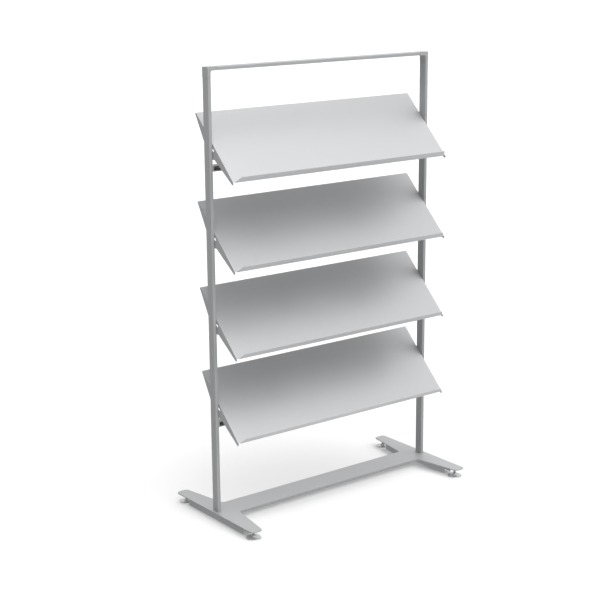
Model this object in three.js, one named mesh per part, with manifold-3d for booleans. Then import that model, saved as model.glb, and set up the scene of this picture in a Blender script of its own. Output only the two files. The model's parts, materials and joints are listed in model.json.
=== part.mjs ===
// Free-standing periodical display rack: a slim tube frame on a flat skirted base, with
// tilting sheet-metal shelves hung between the uprights.
// Millimetres, +Z up, front towards -Y, origin on the floor under the middle of the rack.
import * as THREE from 'three';
import { mergeVertices } from 'three/addons/utils/BufferGeometryUtils.js';
import Module from 'manifold-3d';

// Overall sizes
const rackWidth = 1000;
const rackHeight = 1600;
const rackDepth = 480;

// Frame tube, used for the uprights and the top rail
const tubeWidth = 12.5;
const tubeDepth = 33;
const tubeWall = 1.5;
const tubeCorner = 2;
const uprightInset = 11.3;

// Cast corner connectors
const cornerLeg = 37;
const cornerFillet = 8;
const spigotLength = 25;
const spigotClearance = 0.25;

// Base plate and its skirts
const plateTop = 34.5;
const plateThickness = 4;
const footRootWidth = 77;
const footTipWidth = 45;
const crossbarDepth = 102;
const footTipRadius = 14;
const notchRadius = 12;
const skirtThickness = 2;
const footOuterOverhang = 10;
const footInnerOverhang = 14;
const crossbarOverhang = 22;
const footSkirtBottom = 2.5;
const crossbarSkirtBottom = 12;
const skirtRampLength = 55;
const skirtGlideGap = 12.5;

// Uprights' plugs and the bolts that hold them to the base plate
const plugHeight = 30;
const plugClearance = 0.2;
const baseBoltRadius = 2.5;
const baseBoltHeadRadius = 4.5;
const baseBoltHeadHeight = 3;
const baseBoltGrip = 20;
const baseBoltSpacing = 16;

// Levelling glides
const glideInset = 26;
const glideSetback = 29;
const padRadius = 26.5;
const padRim = 3;
const padChamfer = 1;
const padShoulderRadius = 24;
const padShoulder = 4;
const padCrown = 4.8;
const padHubRadius = 8;
const padHubTop = 12;
const padFloor = 4;
const stemRadius = 4;
const stemTopGap = 1;
const glideNutFlats = 13;
const glideNutHeight = 6.5;

// Shelves: one folded sheet each
const shelfCount = 4;
const shelfPitch = 302.6;
const shelfTilt = 45;
const topPivotDrop = 298.1;
const sheet = 1.5;
const bendRadius = 3;
const shelfSideGap = 0.8;
const shelfDepth = 302.6;
const lipHeight = 31;
const lipEndInset = 9;
const lipMitreAngle = 30;
const pivotSetback = 146.5;
const pivotDrop = 40;
const flangeNose = 2.5;
const flangeFrontDepth = 8.4;
const flangeBackDepth = 4.3;
const lugFront = 26;
const lugBack = 4.5;
const lugBottom = 10;

// Pivot bolts and the lock bolts that ride in the tilt slots
const shelfBoltRadius = 3;
const shelfBoltHeadRadius = 6;
const shelfBoltHeadHeight = 3.6;
const shelfBoltReach = 8;
const runningClearance = 0.13;
const tiltSlotRadius = 27.5;
const tiltSlotClearance = 0.3;
const tiltRange = 45;

// Cross rails between the uprights, below the top and the bottom shelf
const upperRailDrop = 40;
const lowerRailDrop = 33.6;
const crossRailHeight = 20.5;
const crossRailDepth = 30;
const crossRailWall = 2.5;
const crossRailEndPlate = 4;
const railScrewRadius = 2;
const railScrewHeadRadius = 3.6;
const railScrewHeadHeight = 2;
const railScrewSpacing = 15;

// Fits and facets
const seat = 0.2;
const holeClearance = 0.3;
const headTopShare = 0.55;
const headRimShare = 0.4;
const boltSides = 12;
const padSides = 28;
const arcSteps = 4;
const cutMargin = 5;

// Levels and faces worked out from the sizes above
const halfWidth = rackWidth / 2;
const halfDepth = rackDepth / 2;
const plateBottom = plateTop - plateThickness;
const uprightOuter = halfWidth - uprightInset;
const uprightInner = uprightOuter - tubeWidth;
const uprightMiddle = (uprightOuter + uprightInner) / 2;
const shelfHalfLength = uprightInner - shelfSideGap;
const footSides = { left: -1, right: 1 };
const footEnds = { front: -1, back: 1 };
const glideX = halfWidth - glideInset;
const glideY = halfDepth - glideSetback;
const skirtReach = glideY - padRadius - skirtGlideGap;
const shelfBoltHole = shelfBoltRadius + runningClearance;
const tilt = THREE.MathUtils.degToRad(shelfTilt);
const topPivotHeight = rackHeight - topPivotDrop;
const bottomPivotHeight = topPivotHeight - (shelfCount - 1) * shelfPitch;
const crossRailHeights = {
  upper: topPivotHeight - upperRailDrop,
  lower: bottomPivotHeight - lowerRailDrop,
};

// Finishes
const silverCoat = { color: 0xb4b7b9, roughness: 0.45, metalness: 0.25 };
const finishes = {
  frame: new THREE.MeshStandardMaterial(silverCoat),
  shelf: new THREE.MeshStandardMaterial({ ...silverCoat, color: 0xc3c6c8 }),
  steel: new THREE.MeshStandardMaterial({ color: 0x8d9093, roughness: 0.3, metalness: 0.9 }),
  glide: new THREE.MeshStandardMaterial({ color: 0xb9bcbe, roughness: 0.25, metalness: 0.9 }),
};

const wasm = await Module();
wasm.setup();
const rack = new THREE.Group();

// Solid operations

function solid(geometry) {
  const bare = geometry.clone();
  bare.deleteAttribute('normal');
  bare.deleteAttribute('uv');
  const merged = mergeVertices(bare, 1e-4);
  const corners = merged.index.array;
  const kept = [];
  for (let i = 0; i < corners.length; i += 3) {
    const [a, b, c] = [corners[i], corners[i + 1], corners[i + 2]];
    if (a !== b && b !== c && c !== a) kept.push(a, b, c);
  }
  const vertProperties = new Float32Array(merged.attributes.position.array);
  const triVerts = new Uint32Array(kept);
  return new wasm.Manifold(new wasm.Mesh({ numProp: 3, vertProperties, triVerts }));
}

function geometryOf(body) {
  const mesh = body.getMesh();
  const geometry = new THREE.BufferGeometry();
  geometry.setAttribute('position', new THREE.BufferAttribute(mesh.vertProperties, 3));
  geometry.setIndex(new THREE.BufferAttribute(mesh.triVerts, 1));
  geometry.computeVertexNormals();
  return geometry;
}

function join(...geometries) {
  return geometryOf(geometries.map(solid).reduce((whole, piece) => whole.add(piece)));
}

function cut(geometry, ...tools) {
  return geometryOf(tools.map(solid).reduce((whole, tool) => whole.subtract(tool), solid(geometry)));
}

function add(name, geometry, material, parent = rack) {
  const mesh = new THREE.Mesh(geometry, material);
  mesh.name = name;
  parent.add(mesh);
  return mesh;
}

// Outlines and swept shapes

// Closed outline through corners [x, y, radius], each rounded by an arc of its own radius.
function roundedOutline(corners) {
  const shape = new THREE.Shape();
  corners.forEach(([x, y, radius = 0], i) => {
    const corner = new THREE.Vector2(x, y);
    const before = corners.at(i - 1);
    const after = corners[(i + 1) % corners.length];
    const inward = new THREE.Vector2(before[0] - x, before[1] - y).normalize();
    const outward = new THREE.Vector2(after[0] - x, after[1] - y).normalize();
    const halfAngle = Math.acos(THREE.MathUtils.clamp(inward.dot(outward), -1, 1)) / 2;
    const start = corner.clone().addScaledVector(inward, radius / Math.tan(halfAngle));
    if (i === 0) shape.moveTo(start.x, start.y);
    else shape.lineTo(start.x, start.y);
    if (radius === 0) return;
    const bisector = inward.clone().add(outward).normalize();
    const centre = corner.clone().addScaledVector(bisector, radius / Math.sin(halfAngle));
    const end = corner.clone().addScaledVector(outward, radius / Math.tan(halfAngle));
    const from = start.sub(centre).angle();
    const to = end.sub(centre).angle();
    const turnsLeft = outward.cross(inward) > 0;
    shape.absarc(centre.x, centre.y, radius, from, to, !turnsLeft);
  });
  return shape;
}

function rectangle(width, height, radius = 0) {
  const [x, y] = [width / 2, height / 2];
  return roundedOutline([[-x, -y, radius], [x, -y, radius], [x, y, radius], [-x, y, radius]]);
}

function alongZ(shape, from, to) {
  const options = { depth: to - from, bevelEnabled: false, curveSegments: arcSteps };
  return new THREE.ExtrudeGeometry(shape, options).translate(0, 0, from);
}

// Outline drawn as (y, z), swept along X.
function alongX(shape, from, to) {
  const turn = new THREE.Matrix4().makeBasis(
    new THREE.Vector3(0, 1, 0), new THREE.Vector3(0, 0, 1), new THREE.Vector3(1, 0, 0));
  return alongZ(shape, from, to).applyMatrix4(turn);
}

// Outline drawn as (z, x), swept along Y.
function alongY(shape, from, to) {
  const turn = new THREE.Matrix4().makeBasis(
    new THREE.Vector3(0, 0, 1), new THREE.Vector3(1, 0, 0), new THREE.Vector3(0, 1, 0));
  return alongZ(shape, from, to).applyMatrix4(turn);
}

// Round piece from (radius, height) points, standing on Z.
function turnedOnZ(profile, sides) {
  const points = profile.map(([radius, height]) => new THREE.Vector2(radius, height));
  return new THREE.LatheGeometry(points, sides).rotateX(Math.PI / 2);
}

// Round piece lying on X: height 0 at x = 0, growing towards the given side.
function turnedOnX(profile, sides, side) {
  const points = profile.map(([radius, height]) => new THREE.Vector2(radius, height));
  return new THREE.LatheGeometry(points, sides).rotateZ(-side * Math.PI / 2);
}

function rod(radius, from, to) {
  return [[0, from], [radius, from], [radius, to], [0, to]];
}

// Button-headed bolt: head below height 0, shank above it.
function boltProfile(radius, length, headRadius, headHeight) {
  return [
    [0, -headHeight],
    [headRadius * headTopShare, -headHeight],
    [headRadius, -headHeight * headRimShare],
    [headRadius, 0],
    [radius, 0],
    [radius, length],
    [0, length],
  ];
}

// Frame

function makeUpright(side, sideName) {
  const ring = rectangle(tubeWidth, tubeDepth, tubeCorner);
  const bore = rectangle(tubeWidth - 2 * tubeWall, tubeDepth - 2 * tubeWall);
  ring.holes.push(bore);
  const tube = alongZ(ring, plateTop + seat, rackHeight - cornerLeg - seat);
  tube.translate(side * uprightMiddle, 0, 0);

  const holes = [];
  const innerWall = rod(shelfBoltHole, 0, tubeWall + cutMargin);
  for (let shelf = 0; shelf < shelfCount; shelf += 1) {
    const pivotHeight = topPivotHeight - shelf * shelfPitch;
    for (const height of [pivotHeight, pivotHeight + tiltSlotRadius]) {
      const drill = turnedOnX(innerWall, boltSides, side);
      holes.push(drill.translate(side * (uprightInner - cutMargin / 2), 0, height));
    }
  }
  const bothWalls = rod(railScrewRadius + holeClearance, -cutMargin, tubeWidth + cutMargin);
  for (const height of Object.values(crossRailHeights)) {
    for (const end of Object.values(footEnds)) {
      const drill = turnedOnX(bothWalls, boltSides, side);
      holes.push(drill.translate(side * uprightInner, end * railScrewSpacing / 2, height));
    }
  }
  add(`upright_${sideName}`, cut(tube, ...holes), finishes.frame);
}

function makeTopRail() {
  const ring = rectangle(tubeDepth, tubeWidth, tubeCorner);
  ring.holes.push(rectangle(tubeDepth - 2 * tubeWall, tubeWidth - 2 * tubeWall));
  const end = uprightOuter - cornerLeg - seat;
  const tube = alongX(ring, -end, end).translate(0, 0, rackHeight - tubeWidth / 2);
  add('top_rail', tube, finishes.frame);
}

function makeCornerConnector(side, sideName) {
  const leg = cornerLeg;
  const body = roundedOutline([
    [0, 0, tubeCorner],
    [0, -leg],
    [-tubeWidth, -leg],
    [-tubeWidth, -tubeWidth, cornerFillet],
    [-leg, -tubeWidth],
    [-leg, 0],
  ].map(([out, up, radius]) => [rackHeight + up, side * (uprightOuter + out), radius]));
  const block = alongY(body, -tubeDepth / 2, tubeDepth / 2);
  const spigotWidth = tubeWidth - 2 * (tubeWall + spigotClearance);
  const spigotDepth = tubeDepth - 2 * (tubeWall + spigotClearance);
  const spigotEnd = cornerLeg + spigotLength;
  const down = alongZ(rectangle(spigotWidth, spigotDepth), rackHeight - spigotEnd, rackHeight - leg + seat);
  down.translate(side * uprightMiddle, 0, 0);
  const tip = uprightOuter - spigotEnd;
  const root = uprightOuter - leg + seat;
  const acrossEnds = [side * tip, side * root].sort((a, b) => a - b);
  const across = alongX(rectangle(spigotDepth, spigotWidth), ...acrossEnds);
  across.translate(0, 0, rackHeight - tubeWidth / 2);
  add(`corner_connector_${sideName}`, join(block, down, across), finishes.frame);
}

// Base

function footInnerEdge(distance) {
  const rootDistance = crossbarDepth / 2;
  const narrowing = (footRootWidth - footTipWidth) * (distance - rootDistance) / (halfDepth - rootDistance);
  return halfWidth - footRootWidth + narrowing;
}

function makeBasePlate() {
  const quarter = (x, y) => [
    [x * halfWidth, y * halfDepth, footTipRadius],
    [x * footInnerEdge(halfDepth), y * halfDepth, footTipRadius],
    [x * footInnerEdge(crossbarDepth / 2), y * crossbarDepth / 2, notchRadius],
  ];
  const outline = roundedOutline([
    ...quarter(1, -1).reverse(),
    ...quarter(1, 1),
    ...quarter(-1, 1).reverse(),
    ...quarter(-1, -1),
  ]);
  const plate = alongZ(outline, plateBottom, plateTop);
  const holes = [];
  for (const side of Object.values(footSides)) {
    for (const end of Object.values(footEnds)) {
      const stemHole = rod(stemRadius + runningClearance, plateBottom - cutMargin, plateTop - stemTopGap);
      holes.push(turnedOnZ(stemHole, boltSides).translate(side * glideX, end * glideY, 0));
      const boltHole = rod(baseBoltRadius + holeClearance, plateBottom - cutMargin, plateTop + cutMargin);
      const boltY = end * baseBoltSpacing / 2;
      holes.push(turnedOnZ(boltHole, boltSides).translate(side * uprightMiddle, boltY, 0));
    }
  }
  add('base_plate', cut(plate, ...holes), finishes.frame);
}

// Skirt along one long side of the base: down the inside of one foot, along the crossbar
// and out along the other foot, shallower under the crossbar.
function makeLongSkirt(end, endName) {
  const face = (depth) => {
    const rootY = crossbarDepth / 2 - crossbarOverhang - depth;
    const rootX = footInnerEdge(rootY) + footInnerOverhang + depth;
    const reachX = footInnerEdge(skirtReach) + footInnerOverhang + depth;
    const radius = notchRadius + footInnerOverhang + depth;
    return [
      [-reachX, end * skirtReach, 0],
      [-rootX, end * rootY, radius],
      [rootX, end * rootY, radius],
      [reachX, end * skirtReach, 0],
    ];
  };
  const outline = roundedOutline([...face(0), ...face(skirtThickness).reverse()]);
  const strip = alongZ(outline, footSkirtBottom, plateBottom - seat);
  const rampStart = crossbarDepth / 2 + notchRadius;
  const ramp = roundedOutline([
    [0, footSkirtBottom - cutMargin],
    [end * (rampStart + skirtRampLength), footSkirtBottom - cutMargin],
    [end * (rampStart + skirtRampLength), footSkirtBottom],
    [end * rampStart, crossbarSkirtBottom],
    [0, crossbarSkirtBottom],
  ]);
  const cutter = alongX(ramp, -halfWidth, halfWidth);
  add(`base_skirt_${endName}`, cut(strip, cutter), finishes.frame);
}

function makeFootSkirt(side, sideName) {
  const middle = side * (halfWidth - footOuterOverhang - skirtThickness / 2);
  const strip = alongZ(rectangle(skirtThickness, 2 * skirtReach), footSkirtBottom, plateBottom - seat);
  add(`base_skirt_${sideName}`, strip.translate(middle, 0, 0), finishes.frame);
}

function makeUprightPlug(side, sideName) {
  const width = tubeWidth - 2 * (tubeWall + plugClearance);
  const depth = tubeDepth - 2 * (tubeWall + plugClearance);
  const bottom = plateTop + seat;
  const block = alongZ(rectangle(width, depth), bottom, bottom + plugHeight);
  const drills = Object.values(footEnds).map((end) => {
    const holeTop = bottom + baseBoltGrip + cutMargin;
    const hole = rod(baseBoltRadius + holeClearance, plateTop - cutMargin, holeTop);
    return turnedOnZ(hole, boltSides).translate(0, end * baseBoltSpacing / 2, 0);
  });
  const plug = cut(block, ...drills).translate(side * uprightMiddle, 0, 0);
  add(`upright_plug_${sideName}`, plug, finishes.steel);
}

function makeBaseBolt(side, sideName, end, endName) {
  const length = plateThickness + seat + baseBoltGrip;
  const profile = boltProfile(baseBoltRadius, length, baseBoltHeadRadius, baseBoltHeadHeight);
  const bolt = turnedOnZ(profile, boltSides);
  bolt.translate(side * uprightMiddle, end * baseBoltSpacing / 2, plateBottom - seat);
  add(`base_bolt_${endName}_${sideName}`, bolt, finishes.steel);
}

// Levelling glides

function makeGlide(side, sideName, end, endName) {
  const place = `${endName}_${sideName}`;
  const glide = new THREE.Group();
  glide.position.set(side * glideX, end * glideY, 0);
  rack.add(glide);

  const socket = stemRadius + seat;
  const pad = turnedOnZ([
    [0, 0],
    [padRadius - padChamfer, 0],
    [padRadius, padChamfer],
    [padRadius, padRim],
    [padShoulderRadius, padShoulder],
    [padHubRadius, padCrown],
    [padHubRadius, padHubTop],
    [socket, padHubTop],
    [socket, padFloor],
    [0, padFloor],
  ], padSides);
  add(`glide_pad_${place}`, pad, finishes.glide, glide);

  const stem = turnedOnZ(rod(stemRadius, padFloor + seat, plateTop - 2 * stemTopGap), boltSides);
  add(`glide_stem_${place}`, stem, finishes.steel, glide);

  const nutOutline = new THREE.Shape();
  const acrossCorners = glideNutFlats / Math.sqrt(3);
  for (let corner = 0; corner < 6; corner += 1) {
    const angle = corner * Math.PI / 3;
    const [x, y] = [acrossCorners * Math.cos(angle), acrossCorners * Math.sin(angle)];
    if (corner === 0) nutOutline.moveTo(x, y);
    else nutOutline.lineTo(x, y);
  }
  const nutTop = plateBottom - seat;
  const nutBottom = nutTop - glideNutHeight;
  const nutBlank = alongZ(nutOutline, nutBottom, nutTop);
  const thread = rod(stemRadius + runningClearance, nutBottom - cutMargin, nutTop + cutMargin);
  add(`glide_nut_${place}`, cut(nutBlank, turnedOnZ(thread, boltSides)), finishes.steel, glide);
}

// Shelves, drawn flat about their pivot: X along the rack, Y up the slope, Z off the panel

function shelfFlangeOutline() {
  const [fold, back] = [-pivotSetback, shelfDepth - pivotSetback];
  const onPanel = (y, z) => [
    y * Math.cos(tilt) + z * Math.sin(tilt),
    z * Math.cos(tilt) - y * Math.sin(tilt),
  ];
  return roundedOutline([
    [fold - flangeNose, pivotDrop + sheet / 2],
    [fold - flangeNose, pivotDrop - flangeFrontDepth],
    onPanel(-lugFront, -lugBottom),
    onPanel(lugBack, -lugBottom),
    [back, pivotDrop - flangeBackDepth],
    [back, pivotDrop + sheet / 2],
  ]);
}

// Arc slot about the pivot, from straight above it in the rack to the tilt range further on.
function tiltSlotOutline() {
  const halfSlot = shelfBoltRadius + tiltSlotClearance;
  const from = Math.PI / 2 - tilt;
  const to = from + THREE.MathUtils.degToRad(tiltRange);
  const at = (angle) => [tiltSlotRadius * Math.cos(angle), tiltSlotRadius * Math.sin(angle)];
  const slot = new THREE.Shape();
  slot.absarc(0, 0, tiltSlotRadius + halfSlot, from, to, false);
  slot.absarc(...at(to), halfSlot, to, to + Math.PI, false);
  slot.absarc(0, 0, tiltSlotRadius - halfSlot, to, from, true);
  slot.absarc(...at(from), halfSlot, from + Math.PI, from + 2 * Math.PI, false);
  return slot;
}

function makeShelf(number) {
  const [fold, back] = [-pivotSetback, shelfDepth - pivotSetback];
  const [under, top] = [pivotDrop, pivotDrop + sheet];
  const section = roundedOutline([
    [fold, under, bendRadius],
    [back, under],
    [back, top],
    [fold + sheet, top, bendRadius - sheet],
    [fold + sheet, under + lipHeight],
    [fold, under + lipHeight],
  ]);
  const folded = alongX(section, -shelfHalfLength, shelfHalfLength);

  const lipCorners = [];
  const flanges = [];
  const holes = [];
  for (const side of Object.values(footSides)) {
    const end = side * shelfHalfLength;
    const inside = end - side * sheet;
    flanges.push(alongX(shelfFlangeOutline(), Math.min(end, inside), Math.max(end, inside)));
    const mitreHeight = lipHeight - bendRadius + cutMargin;
    const mitreRun = mitreHeight * Math.tan(THREE.MathUtils.degToRad(lipMitreAngle));
    const lipEnd = end - side * lipEndInset;
    const corner = roundedOutline([
      [under - cutMargin, lipEnd],
      [under - cutMargin, end + side * cutMargin],
      [under + bendRadius + mitreHeight, end + side * cutMargin],
      [under + bendRadius + mitreHeight, lipEnd - side * mitreRun],
      [under + bendRadius, lipEnd],
    ]);
    lipCorners.push(alongY(corner, fold - cutMargin, fold + bendRadius));
    const drillFrom = inside - side * cutMargin;
    const drill = turnedOnX(rod(shelfBoltHole, 0, sheet + 2 * cutMargin), boltSides, side);
    holes.push(drill.translate(drillFrom, 0, 0));
    const drillTo = end + side * cutMargin;
    holes.push(alongX(tiltSlotOutline(), Math.min(drillFrom, drillTo), Math.max(drillFrom, drillTo)));
  }

  const hung = new THREE.Group();
  hung.position.z = topPivotHeight - (number - 1) * shelfPitch;
  hung.rotation.x = tilt;
  rack.add(hung);
  const tray = join(cut(folded, ...lipCorners), ...flanges);
  add(`shelf_${number}`, cut(tray, ...holes), finishes.shelf, hung);
}

function makeShelfBolts(number, side, sideName) {
  const pivotHeight = topPivotHeight - (number - 1) * shelfPitch;
  const heights = { pivot: pivotHeight, lock: pivotHeight + tiltSlotRadius };
  const headFace = shelfHalfLength - sheet - seat;
  const length = uprightInner + shelfBoltReach - headFace;
  const profile = boltProfile(shelfBoltRadius, length, shelfBoltHeadRadius, shelfBoltHeadHeight);
  for (const [use, height] of Object.entries(heights)) {
    const bolt = turnedOnX(profile, boltSides, side).translate(side * headFace, 0, height);
    add(`shelf_${number}_${use}_bolt_${sideName}`, bolt, finishes.steel);
  }
}

// Cross rails

function makeCrossRail(name, height) {
  const [front, rear] = [-crossRailDepth / 2, crossRailDepth / 2];
  const [low, high] = [height - crossRailHeight / 2, height + crossRailHeight / 2];
  const wall = crossRailWall;
  const section = roundedOutline([
    [front, low],
    [rear, low, bendRadius],
    [rear, high, bendRadius],
    [front, high],
  ]);
  const trough = roundedOutline([
    [front - cutMargin, low + wall],
    [rear - wall, low + wall],
    [rear - wall, high - wall],
    [front - cutMargin, high - wall],
  ]);
  const end = uprightInner - seat;
  const inside = end - crossRailEndPlate;
  const cuts = [alongX(trough, -inside, inside)];
  for (const side of Object.values(footSides)) {
    for (const place of Object.values(footEnds)) {
      const hole = rod(railScrewRadius + holeClearance, 0, crossRailEndPlate + 2 * cutMargin);
      const drill = turnedOnX(hole, boltSides, side);
      cuts.push(drill.translate(side * (inside - cutMargin), place * railScrewSpacing / 2, height));
    }
  }
  add(`cross_rail_${name}`, cut(alongX(section, -end, end), ...cuts), finishes.frame);
}

function makeRailScrews(name, height, side, sideName) {
  const length = tubeWidth + 2 * seat + crossRailEndPlate;
  const profile = boltProfile(railScrewRadius, length, railScrewHeadRadius, railScrewHeadHeight);
  for (const [endName, end] of Object.entries(footEnds)) {
    const screw = turnedOnX(profile, boltSides, -side);
    screw.translate(side * (uprightOuter + seat), end * railScrewSpacing / 2, height);
    add(`rail_screw_${name}_${endName}_${sideName}`, screw, finishes.steel);
  }
}

// The rack

makeTopRail();
makeBasePlate();
for (const [endName, end] of Object.entries(footEnds)) makeLongSkirt(end, endName);
for (const [name, height] of Object.entries(crossRailHeights)) makeCrossRail(name, height);
for (let number = 1; number <= shelfCount; number += 1) makeShelf(number);
for (const [sideName, side] of Object.entries(footSides)) {
  makeUpright(side, sideName);
  makeCornerConnector(side, sideName);
  makeFootSkirt(side, sideName);
  makeUprightPlug(side, sideName);
  for (const [endName, end] of Object.entries(footEnds)) {
    makeBaseBolt(side, sideName, end, endName);
    makeGlide(side, sideName, end, endName);
  }
  for (const [name, height] of Object.entries(crossRailHeights)) {
    makeRailScrews(name, height, side, sideName);
  }
  for (let number = 1; number <= shelfCount; number += 1) makeShelfBolts(number, side, sideName);
}

export default rack;
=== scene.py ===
"""Looks of the periodical display rack: powder-coated frame and folded shelves, zinc-plated
fasteners and levelling glides, in a plain pale studio. Metres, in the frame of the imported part."""
import json
import math

import bmesh
import bpy
from mathutils import Matrix, Vector


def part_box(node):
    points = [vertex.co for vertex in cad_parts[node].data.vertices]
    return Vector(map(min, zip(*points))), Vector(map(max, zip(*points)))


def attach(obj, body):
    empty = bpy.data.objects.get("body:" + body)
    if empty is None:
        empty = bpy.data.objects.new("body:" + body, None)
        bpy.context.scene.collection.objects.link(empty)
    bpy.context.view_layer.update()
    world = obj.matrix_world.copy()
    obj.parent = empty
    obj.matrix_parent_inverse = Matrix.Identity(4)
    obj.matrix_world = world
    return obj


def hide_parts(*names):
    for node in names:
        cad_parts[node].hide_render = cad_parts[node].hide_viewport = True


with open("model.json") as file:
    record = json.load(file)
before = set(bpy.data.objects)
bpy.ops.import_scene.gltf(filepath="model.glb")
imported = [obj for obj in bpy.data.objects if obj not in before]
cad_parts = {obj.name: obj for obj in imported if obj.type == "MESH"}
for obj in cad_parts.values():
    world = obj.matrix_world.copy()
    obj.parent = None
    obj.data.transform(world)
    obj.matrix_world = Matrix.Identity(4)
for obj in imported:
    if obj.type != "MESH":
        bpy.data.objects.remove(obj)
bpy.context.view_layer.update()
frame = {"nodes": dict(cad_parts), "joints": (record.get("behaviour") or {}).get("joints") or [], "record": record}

MM = 0.001

# Camera: where the photograph was taken from, in the rack's frame
CAMERA_PLACE = Vector((-3.1141, -3.9597, 1.9964))
CAMERA_AZIMUTH = math.radians(-37.045)
CAMERA_ELEVATION = math.radians(13.899)
CAMERA_ROLL = math.radians(-0.575)
CAMERA_LENS = 87.07
CAMERA_SENSOR = 36.0
CAMERA_REACH = 500

# Edges
TUBE_BEVEL = 0.5 * MM
PLATE_BEVEL = 0.7 * MM
SHEET_BEVEL = 0.35 * MM
NUT_BEVEL = 0.4 * MM
SEAM_GAP = 0.7 * MM
FOLD_RADIUS = 2.0 * MM
FOLD_STEPS = 5
FOLD_TOLERANCE = 0.05 * MM
REAR_SHARE = 0.15
WELD_DISTANCE = 0.002 * MM
FLAT_ANGLE = math.radians(0.6)
BEVEL_ANGLE = math.radians(38)

# Fasteners, each with its head radius, head height and shank radius
RAIL_SCREW = (3.6 * MM, 2 * MM, 2 * MM)
BASE_BOLT = (4.5 * MM, 3 * MM, 2.5 * MM)
SHELF_BOLT = (6 * MM, 3.6 * MM, 3 * MM)
BOLT_SIDES = 36
BOLT_BEVEL = 0.12 * MM
DOME_ANGLES = [math.radians(degrees) for degrees in (34, 46, 58, 70, 80, 88)]
DOME_ROUNDNESS = 0.8
SOCKET_SHARE = 0.34
SOCKET_DEPTH_SHARE = 0.62
SOCKET_FLOOR_SHARE = 0.9
SOCKET_MOUTH_SHARE = 1.1
SOCKET_MOUTH_DEPTH = 0.1 * MM
SOCKET_MOUTH_LIFT = 0.02 * MM
HEAD_EDGE = 0.15 * MM
SHANK_FILLET = 0.2 * MM
SHANK_CHAMFER = 0.5 * MM
THREAD_PITCH = 1.25 * MM
THREAD_DEPTH = 0.55 * MM
THREAD_STEPS = 6

# Glide pads
PAD_SIDES = 72
PAD_RIM = 3 * MM
PAD_ROLL = 0.5 * MM
PAD_CROWN = 4.8 * MM
PAD_HUB_RADIUS = 8 * MM
PAD_FLOOR = 4 * MM
PAD_SOCKET_GAP = 0.2 * MM
PAD_CROWN_STEPS = 10
PAD_CROWN_FLATNESS = 0.6
PAD_CROWN_END = 2 * MM
PAD_RIM_EDGE = 0.7 * MM
PAD_HUB_EDGE = 0.6 * MM
PAD_SOCKET_EDGE = 0.3 * MM
# Height and inset of the points round the pad's lower edge and up to its hub, in millimetres,
# and over its rolled rim, in rolls
PAD_FOOT_SHAPE = ((0, 1.6), (0.35, 0.6), (1, 0))
PAD_HUB_SHAPE = ((0.3, 0.6), (1, 0))
PAD_ROLL_SHAPE = ((0.0, 0.4), (0.7, 1.2), (0.9, 2.2), (0.6, 3.4), (0.0, 4.2))
PAD_ROLL_WIDTH = 5

# Finishes
FRAME_COLOUR = (0.42, 0.426, 0.432, 1)
SHELF_COLOUR = (0.44, 0.446, 0.453, 1)
ZINC_COLOUR = (0.42, 0.43, 0.44, 1)
PAD_COLOUR = (0.62, 0.625, 0.63, 1)
FLOOR_COLOUR = (0.8, 0.8, 0.8, 1)
WHITE = (1, 1, 1, 1)
COAT_METALLIC = 0.3
COAT_ROUGHNESS = 0.42
COAT_ROUGHNESS_RANGE = (0.39, 0.47)
COAT_FLAKE_CHANGE = 0.05
COAT_CLOUD_CHANGE = 0.02
COAT_CLOUD_PART = 0.5
COAT_BUMP = (0.12, 0.12 * MM)
ZINC_METALLIC = 0.9
ZINC_ROUGHNESS = 0.34
ZINC_ROUGHNESS_RANGE = (0.28, 0.42)
ZINC_STAIN_CHANGE = 0.14
ZINC_BUMP = (0.1, 0.05 * MM)
PAD_METALLIC = 0.65
PAD_ROUGHNESS = 0.3
PAD_ROUGHNESS_RANGE = (0.26, 0.34)
PAD_SCUFF_CHANGE = 0.08
PAD_BUMP = (0.05, 0.1 * MM)

# Noise patterns of the finishes: scale and detail
NOISE_MIDDLE = (0.3, 0.7)
COAT_PEEL = (620, 3)
COAT_FLAKE = (3200, 1)
COAT_CLOUD = (5, 3)
ZINC_GRAIN = (1500, 2)
ZINC_STAIN = (120, 3)
PAD_SCUFF = (240, 4)

# Floor
FLOOR_REACH = 150.0
FLOOR_ROUGHNESS = 0.8
FLOOR_GLOW = 0.06

# Studio light
ROOM_LEFT_RIGHT = (0.31, 0.95)
ROOM_FRONT_BACK = (0.15, 1.3)
ROOM_DOWN_UP = (0.35, 1.0)
HORIZON_BAND = (-0.4, 0.1)
KEY_STRENGTH = 2.85
KEY_DIRECTION = Vector((0.1, -0.45, 0.88)).normalized()
KEY_FOCUS = 3
BOUNCE_STRENGTH = 2.7
BOUNCE_DIRECTION = Vector((-0.15, -0.3, -0.94)).normalized()
BOUNCE_FOCUS = 3

SLOTS = {row["node"]: row["material_slot"] for row in frame["record"]["subparts"]}
BODIES = {node: body for body, nodes in frame["record"]["behaviour"]["bodies"].items() for node in nodes}


# Materials

def shader(name, colour, metallic, roughness):
    """A node material with its colour, metalness and roughness on the shader itself."""
    material = bpy.data.materials.new(name)
    material.use_nodes = True
    tree = material.node_tree
    surface = tree.nodes["Principled BSDF"]
    surface.inputs["Base Color"].default_value = colour
    surface.inputs["Metallic"].default_value = metallic
    surface.inputs["Roughness"].default_value = roughness
    return material, tree, surface


def noise(tree, place, scale, detail):
    node = tree.nodes.new("ShaderNodeTexNoise")
    node.inputs["Scale"].default_value = scale
    node.inputs["Detail"].default_value = detail
    tree.links.new(place.outputs["Object"], node.inputs["Vector"])
    return node


def spread(tree, source, low, high):
    """Maps a noise's middle range onto low to high."""
    node = tree.nodes.new("ShaderNodeMapRange")
    node.inputs["From Min"].default_value = NOISE_MIDDLE[0]
    node.inputs["From Max"].default_value = NOISE_MIDDLE[1]
    node.inputs["To Min"].default_value = low
    node.inputs["To Max"].default_value = high
    tree.links.new(source.outputs["Fac"], node.inputs["Value"])
    return node


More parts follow.
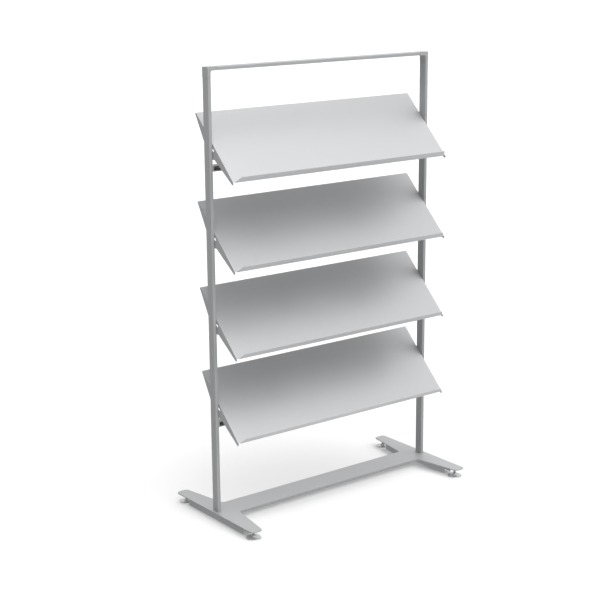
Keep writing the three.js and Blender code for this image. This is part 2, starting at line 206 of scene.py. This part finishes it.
def tint(tree, factor, colour, change):
    """Colour between a darker and a lighter shade of the same finish."""
    node = tree.nodes.new("ShaderNodeMix")
    node.data_type = "RGBA"
    dark = [max(0.0, c * (1 - change)) for c in colour[:3]] + [1]
    light = [min(1.0, c * (1 + change)) for c in colour[:3]] + [1]
    node.inputs["A"].default_value = dark
    node.inputs["B"].default_value = light
    tree.links.new(factor.outputs[0], node.inputs["Factor"])
    return node


def bump(tree, height, strength, distance):
    node = tree.nodes.new("ShaderNodeBump")
    node.inputs["Strength"].default_value = strength
    node.inputs["Distance"].default_value = distance
    tree.links.new(height.outputs["Fac"], node.inputs["Height"])
    return node


def powder_coat(name, colour):
    """Satin silver powder coat: fine orange peel, metal flake and faint cloudiness."""
    material, tree, surface = shader(name, colour, COAT_METALLIC, COAT_ROUGHNESS)
    place = tree.nodes.new("ShaderNodeTexCoord")
    peel = noise(tree, place, *COAT_PEEL)
    flake = noise(tree, place, *COAT_FLAKE)
    cloud = noise(tree, place, *COAT_CLOUD)
    mottled = tint(tree, spread(tree, flake, 0, 1), colour, COAT_FLAKE_CHANGE)
    clouded = tint(tree, spread(tree, cloud, 0, 1), colour, COAT_CLOUD_CHANGE)
    both = tree.nodes.new("ShaderNodeMix")
    both.data_type = "RGBA"
    both.inputs["Factor"].default_value = COAT_CLOUD_PART
    tree.links.new(mottled.outputs["Result"], both.inputs["A"])
    tree.links.new(clouded.outputs["Result"], both.inputs["B"])
    tree.links.new(both.outputs["Result"], surface.inputs["Base Color"])
    roughness = spread(tree, cloud, *COAT_ROUGHNESS_RANGE)
    tree.links.new(roughness.outputs[0], surface.inputs["Roughness"])
    tree.links.new(bump(tree, peel, *COAT_BUMP).outputs[0], surface.inputs["Normal"])
    return material


def zinc(name, colour):
    """Zinc-plated steel with a fine turned grain."""
    material, tree, surface = shader(name, colour, ZINC_METALLIC, ZINC_ROUGHNESS)
    place = tree.nodes.new("ShaderNodeTexCoord")
    grain = noise(tree, place, *ZINC_GRAIN)
    stain = noise(tree, place, *ZINC_STAIN)
    shade = tint(tree, spread(tree, stain, 0, 1), colour, ZINC_STAIN_CHANGE)
    tree.links.new(shade.outputs["Result"], surface.inputs["Base Color"])
    roughness = spread(tree, stain, *ZINC_ROUGHNESS_RANGE)
    tree.links.new(roughness.outputs[0], surface.inputs["Roughness"])
    tree.links.new(bump(tree, grain, *ZINC_BUMP).outputs[0], surface.inputs["Normal"])
    return material


def pad_finish(name, colour):
    """Bright pressed-steel pad with fine scuffs."""
    material, tree, surface = shader(name, colour, PAD_METALLIC, PAD_ROUGHNESS)
    place = tree.nodes.new("ShaderNodeTexCoord")
    scuff = noise(tree, place, *PAD_SCUFF)
    shade = tint(tree, spread(tree, scuff, 0, 1), colour, PAD_SCUFF_CHANGE)
    tree.links.new(shade.outputs["Result"], surface.inputs["Base Color"])
    roughness = spread(tree, scuff, *PAD_ROUGHNESS_RANGE)
    tree.links.new(roughness.outputs[0], surface.inputs["Roughness"])
    tree.links.new(bump(tree, scuff, *PAD_BUMP).outputs[0], surface.inputs["Normal"])
    return material


FINISHES = {
    "frame_coat": powder_coat("frame_coat_finish", FRAME_COLOUR),
    "shelf_coat": powder_coat("shelf_coat_finish", SHELF_COLOUR),
    "fastener_steel": zinc("fastener_finish", ZINC_COLOUR),
    "glide_pad": pad_finish("glide_pad_finish", PAD_COLOUR),
}


# Pieces

def dress(mesh, node):
    """Makes a mesh the shown piece of a CAD node: the finish of the node's slot and its body, with the node
    hidden.
    """
    piece = bpy.data.objects.new(node + "_look", mesh)
    bpy.context.scene.collection.objects.link(piece)
    mesh.materials.clear()
    mesh.materials.append(FINISHES[SLOTS[node]])
    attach(piece, BODIES[node])
    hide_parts(node)
    return piece


def clean_copy(node):
    """The CAD node's shape as a mesh of whole flat faces."""
    shape = bmesh.new()
    shape.from_mesh(frame["nodes"][node].data)
    bmesh.ops.remove_doubles(shape, verts=shape.verts, dist=WELD_DISTANCE)
    bmesh.ops.dissolve_limit(shape, angle_limit=FLAT_ANGLE, verts=shape.verts, edges=shape.edges)
    bmesh.ops.recalc_face_normals(shape, faces=shape.faces)
    return shape


def finish_mesh(shape, name):
    mesh = bpy.data.meshes.new(name)
    shape.to_mesh(mesh)
    shape.free()
    for layer in [a for a in mesh.attributes if a.name in ("custom_normal", "UVMap")]:
        mesh.attributes.remove(layer)
    for face in mesh.polygons:
        face.use_smooth = True
    return mesh


def soften(piece, width, segments=3):
    """Rounds the piece's edges with a small bevel that keeps the flats flat."""
    edge = piece.modifiers.new("edges", "BEVEL")
    edge.width = width
    edge.segments = segments
    edge.limit_method = "ANGLE"
    edge.angle_limit = BEVEL_ANGLE
    edge.harden_normals = True
    edge.use_clamp_overlap = True


def open_seam(shape, node):
    """Draws a tube's ends back from the corner connectors, so that the joints show as fine lines."""
    if node in ("upright_left", "upright_right"):
        end = max(v.co.z for v in shape.verts)
        for vert in shape.verts:
            if end - vert.co.z < SEAM_GAP:
                vert.co.z -= SEAM_GAP
    elif node == "top_rail":
        end = max(v.co.x for v in shape.verts)
        for vert in shape.verts:
            if end - abs(vert.co.x) < SEAM_GAP:
                vert.co.x -= math.copysign(SEAM_GAP, vert.co.x)


def make_frame_piece(node, width):
    shape = clean_copy(node)
    open_seam(shape, node)
    piece = dress(finish_mesh(shape, node + "_mesh"), node)
    soften(piece, width)


def make_shelf(node, joint):
    """The folded sheet, with its side folds rounded along the top of the flanges."""
    shape = clean_copy(node)
    pivot = Vector(joint["pos_m"])
    off_panel = Vector((0, -1, 1)).normalized()
    half = max(abs(v.co.x) for v in shape.verts)
    rear = [v for v in shape.verts if v.co.y > pivot.y + half * REAR_SHARE]
    top = max((v.co - pivot).dot(off_panel) for v in rear)

    def on_fold(vert):
        at_side = abs(abs(vert.co.x) - half) < FOLD_TOLERANCE
        return at_side and abs((vert.co - pivot).dot(off_panel) - top) < FOLD_TOLERANCE

    folds = [e for e in shape.edges if on_fold(e.verts[0]) and on_fold(e.verts[1])]
    bmesh.ops.bevel(shape, geom=folds, offset=FOLD_RADIUS, segments=FOLD_STEPS, profile=0.5,
                    affect="EDGES", clamp_overlap=True)
    piece = dress(finish_mesh(shape, node + "_mesh"), node)
    soften(piece, SHEET_BEVEL, 2)


def ring_mesh(rings, sides, radius_of, name):
    """A closed round mesh from rings of (level, key): radius_of(key, angle) gives each point."""
    shape = bmesh.new()
    loops = []
    for level, key in rings:
        loop = []
        for step in range(sides):
            angle = 2 * math.pi * step / sides
            radius = radius_of(key, angle)
            loop.append(shape.verts.new((radius * math.cos(angle), radius * math.sin(angle), level)))
        loops.append(loop)
    for low, high in zip(loops, loops[1:]):
        for step in range(sides):
            after = (step + 1) % sides
            shape.faces.new((low[step], low[after], high[after], high[step]))
    for loop in (loops[0], loops[-1]):
        middle = shape.verts.new((0, 0, loop[0].co.z))
        for step in range(sides):
            shape.faces.new((loop[step], loop[(step + 1) % sides], middle))
    bmesh.ops.recalc_face_normals(shape, faces=shape.faces)
    return finish_mesh(shape, name)


def hexagon(apothem, angle):
    wedge = (angle + math.pi / 6) % (math.pi / 3) - math.pi / 6
    return apothem / math.cos(wedge)


def make_bolt(node, head_radius, head_height, shank_radius, along):
    """Button-headed socket bolt along the given direction, head first. A radius below zero
    in a ring stands for the hexagon of the socket."""
    low, high = (Vector(corner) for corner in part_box(node))
    middle = (low + high) / 2
    length = abs((high - low).dot(along))
    socket = head_radius * SOCKET_SHARE
    depth = head_height * SOCKET_DEPTH_SHARE
    dome = [(head_height * (1 - math.cos(angle)), head_radius * math.sin(angle) ** DOME_ROUNDNESS)
            for angle in DOME_ANGLES]
    mouth = dome[0][0]
    rings = [
        (depth, -socket * SOCKET_FLOOR_SHARE),
        (depth, -socket),
        (mouth + SOCKET_MOUTH_DEPTH, -socket),
        (mouth - SOCKET_MOUTH_LIFT, -socket * SOCKET_MOUTH_SHARE),
        *dome,
        (head_height - HEAD_EDGE, head_radius),
        (head_height, head_radius - HEAD_EDGE),
        (head_height, shank_radius + SHANK_FILLET),
        (head_height + SHANK_FILLET, shank_radius),
        (length - SHANK_CHAMFER, shank_radius),
        (length, shank_radius - SHANK_CHAMFER),
    ]

    def radius_of(key, angle):
        return hexagon(-key, angle) if key < 0 else key

    mesh = ring_mesh(rings, BOLT_SIDES, radius_of, node + "_mesh")
    turn = Vector((0, 0, 1)).rotation_difference(along).to_matrix().to_4x4()
    mesh.transform(Matrix.Translation(middle - along * length / 2) @ turn)
    soften(dress(mesh, node), BOLT_BEVEL, 2)


def make_glide_pad(node):
    """Domed round pad with a rolled rim and a hub round the stem."""
    low, high = (Vector(corner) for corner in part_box(node))
    radius = (high.x - low.x) / 2
    top = high.z - low.z
    stem_low, stem_high = (Vector(corner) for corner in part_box(node.replace("pad", "stem")))
    socket = (stem_high.x - stem_low.x) / 2 + PAD_SOCKET_GAP
    crown = []
    crown_edge = radius - PAD_ROLL_WIDTH * PAD_ROLL
    crown_inside = PAD_HUB_RADIUS + PAD_CROWN_END
    for step in range(PAD_CROWN_STEPS + 1):
        share = step / PAD_CROWN_STEPS
        rise = (PAD_CROWN - PAD_RIM) * math.sin(share * math.pi / 2) ** PAD_CROWN_FLATNESS
        crown.append((PAD_RIM + rise, crown_edge + (crown_inside - crown_edge) * share))
    rings = [
        *((lift * MM, radius - inset * MM) for lift, inset in PAD_FOOT_SHAPE),
        (PAD_RIM - PAD_RIM_EDGE, radius),
        *((PAD_RIM + PAD_ROLL * lift, radius - PAD_ROLL * inset) for lift, inset in PAD_ROLL_SHAPE),
        *crown,
        *((PAD_CROWN + lift * MM, PAD_HUB_RADIUS + inset * MM) for lift, inset in PAD_HUB_SHAPE),
        (top - PAD_HUB_EDGE, PAD_HUB_RADIUS),
        (top, PAD_HUB_RADIUS - PAD_HUB_EDGE),
        (top, socket + PAD_SOCKET_EDGE),
        (top - PAD_SOCKET_EDGE, socket),
        (PAD_FLOOR, socket),
    ]
    mesh = ring_mesh(rings, PAD_SIDES, lambda key, angle: key, node + "_mesh")
    mesh.transform(Matrix.Translation(((low.x + high.x) / 2, (low.y + high.y) / 2, low.z)))
    dress(mesh, node)


def make_glide_stem(node):
    """Screw-threaded stem."""
    low, high = (Vector(corner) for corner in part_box(node))
    radius = (high.x - low.x) / 2
    length = high.z - low.z
    levels = round(length / THREAD_PITCH * THREAD_STEPS)
    rings = [(length * level / levels, length * level / levels) for level in range(levels + 1)]

    def radius_of(height, angle):
        turn = (height / THREAD_PITCH - angle / (2 * math.pi)) % 1
        return radius - THREAD_DEPTH * abs(2 * turn - 1)

    mesh = ring_mesh(rings, BOLT_SIDES, radius_of, node + "_mesh")
    mesh.transform(Matrix.Translation(((low.x + high.x) / 2, (low.y + high.y) / 2, low.z)))
    dress(mesh, node)


def make_fastener(node):
    """Bolts and screws: rail screws go in from outside, base bolts from below, shelf bolts from inside."""
    low, high = (Vector(corner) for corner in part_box(node))
    side = 1 if (low.x + high.x) > 0 else -1
    if node.startswith("rail_screw"):
        make_bolt(node, *RAIL_SCREW, Vector((-side, 0, 0)))
    elif node.startswith("base_bolt"):
        make_bolt(node, *BASE_BOLT, Vector((0, 0, 1)))
    else:
        make_bolt(node, *SHELF_BOLT, Vector((side, 0, 0)))


def make_pieces():
    tilts = {joint["child"]: joint for joint in frame["joints"]}
    for node in sorted(frame["nodes"]):
        if SLOTS[node] == "shelf_coat":
            make_shelf(node, tilts[BODIES[node]])
        elif node.startswith("base_"):
            if "bolt" in node:
                make_fastener(node)
            else:
                make_frame_piece(node, PLATE_BEVEL)
        elif SLOTS[node] == "frame_coat":
            make_frame_piece(node, TUBE_BEVEL)
        elif node.startswith("glide_pad"):
            make_glide_pad(node)
        elif node.startswith("glide_stem"):
            make_glide_stem(node)
        elif "bolt" in node or "screw" in node:
            make_fastener(node)
        else:
            make_frame_piece(node, NUT_BEVEL)


# Studio

def make_floor():
    """A wide pale floor that takes the rack's shadow. The room lights the rack from below
    instead, so the floor neither shades nor lights it."""
    floor_mesh = bpy.data.meshes.new("floor_mesh")
    reach = FLOOR_REACH
    corners = [(-reach, -reach, 0), (reach, -reach, 0), (reach, reach, 0), (-reach, reach, 0)]
    floor_mesh.from_pydata(corners, [], [(0, 1, 2, 3)])
    floor = bpy.data.objects.new("floor", floor_mesh)
    bpy.context.scene.collection.objects.link(floor)
    material, _, surface = shader("floor_finish", FLOOR_COLOUR, 0.0, FLOOR_ROUGHNESS)
    surface.inputs["Emission Color"].default_value = WHITE
    surface.inputs["Emission Strength"].default_value = FLOOR_GLOW
    floor_mesh.materials.append(material)
    floor.visible_diffuse = False
    floor.visible_glossy = False
    floor.visible_shadow = False


def ramp(tree, source, low, high, to_low, to_high):
    node = tree.nodes.new("ShaderNodeMapRange")
    node.inputs["From Min"].default_value = low
    node.inputs["From Max"].default_value = high
    node.inputs["To Min"].default_value = to_low
    node.inputs["To Max"].default_value = to_high
    tree.links.new(source, node.inputs["Value"])
    return node.outputs[0]


def calculate(tree, operation, first, second):
    """One step of arithmetic on a link and a number, or on two links."""
    node = tree.nodes.new("ShaderNodeMath")
    node.operation = operation
    tree.links.new(first, node.inputs[0])
    if isinstance(second, (int, float)):
        node.inputs[1].default_value = second
    else:
        tree.links.new(second, node.inputs[1])
    return node.outputs[0]


def glow(tree, place, direction, focus, strength):
    """A wide soft patch of light in the room, brightest in the given direction."""
    towards = tree.nodes.new("ShaderNodeVectorMath")
    towards.operation = "DOT_PRODUCT"
    towards.inputs[1].default_value = direction
    tree.links.new(place.outputs["Generated"], towards.inputs[0])
    facing = calculate(tree, "MAXIMUM", towards.outputs["Value"], 0)
    lobe = calculate(tree, "POWER", facing, focus)
    return calculate(tree, "MULTIPLY", lobe, strength)


def make_light():
    """A pale room, dim on the left and bright behind, with a wide soft light overhead and
    another from below in front, as off a pale floor."""
    world = bpy.data.worlds.new("studio")
    bpy.context.scene.world = world
    world.use_nodes = True
    tree = world.node_tree
    place = tree.nodes.new("ShaderNodeTexCoord")
    axes = tree.nodes.new("ShaderNodeSeparateXYZ")
    tree.links.new(place.outputs["Generated"], axes.inputs[0])
    across = ramp(tree, axes.outputs["X"], -1, 1, *ROOM_LEFT_RIGHT)
    along = ramp(tree, axes.outputs["Y"], -1, 1, *ROOM_FRONT_BACK)
    upward = ramp(tree, axes.outputs["Z"], *HORIZON_BAND, *ROOM_DOWN_UP)
    level = calculate(tree, "MULTIPLY", across, along)
    room = calculate(tree, "MULTIPLY", level, upward)
    key = glow(tree, place, KEY_DIRECTION, KEY_FOCUS, KEY_STRENGTH)
    bounce = glow(tree, place, BOUNCE_DIRECTION, BOUNCE_FOCUS, BOUNCE_STRENGTH)
    lights = calculate(tree, "ADD", key, bounce)
    background = tree.nodes["Background"]
    background.inputs["Color"].default_value = WHITE
    tree.links.new(calculate(tree, "ADD", room, lights), background.inputs["Strength"])


def make_camera():
    sin_az, cos_az = math.sin(CAMERA_AZIMUTH), math.cos(CAMERA_AZIMUTH)
    sin_el, cos_el = math.sin(CAMERA_ELEVATION), math.cos(CAMERA_ELEVATION)
    back = Vector((sin_az * cos_el, -cos_az * cos_el, sin_el))
    level = Vector((cos_az, sin_az, 0))
    upright = back.cross(level)
    right = math.cos(CAMERA_ROLL) * level + math.sin(CAMERA_ROLL) * upright
    up = math.cos(CAMERA_ROLL) * upright - math.sin(CAMERA_ROLL) * level
    data = bpy.data.cameras.new("camera")
    data.lens = CAMERA_LENS
    data.sensor_fit = "HORIZONTAL"
    data.sensor_width = CAMERA_SENSOR
    data.clip_end = CAMERA_REACH
    camera = bpy.data.objects.new("camera", data)
    turn = Matrix((right, up, back)).transposed().to_4x4()
    camera.matrix_world = Matrix.Translation(CAMERA_PLACE) @ turn
    bpy.context.scene.collection.objects.link(camera)
    bpy.context.scene.camera = camera


make_camera()
make_pieces()
make_floor()
make_light()
bpy.context.scene.view_settings.view_transform = "Standard"
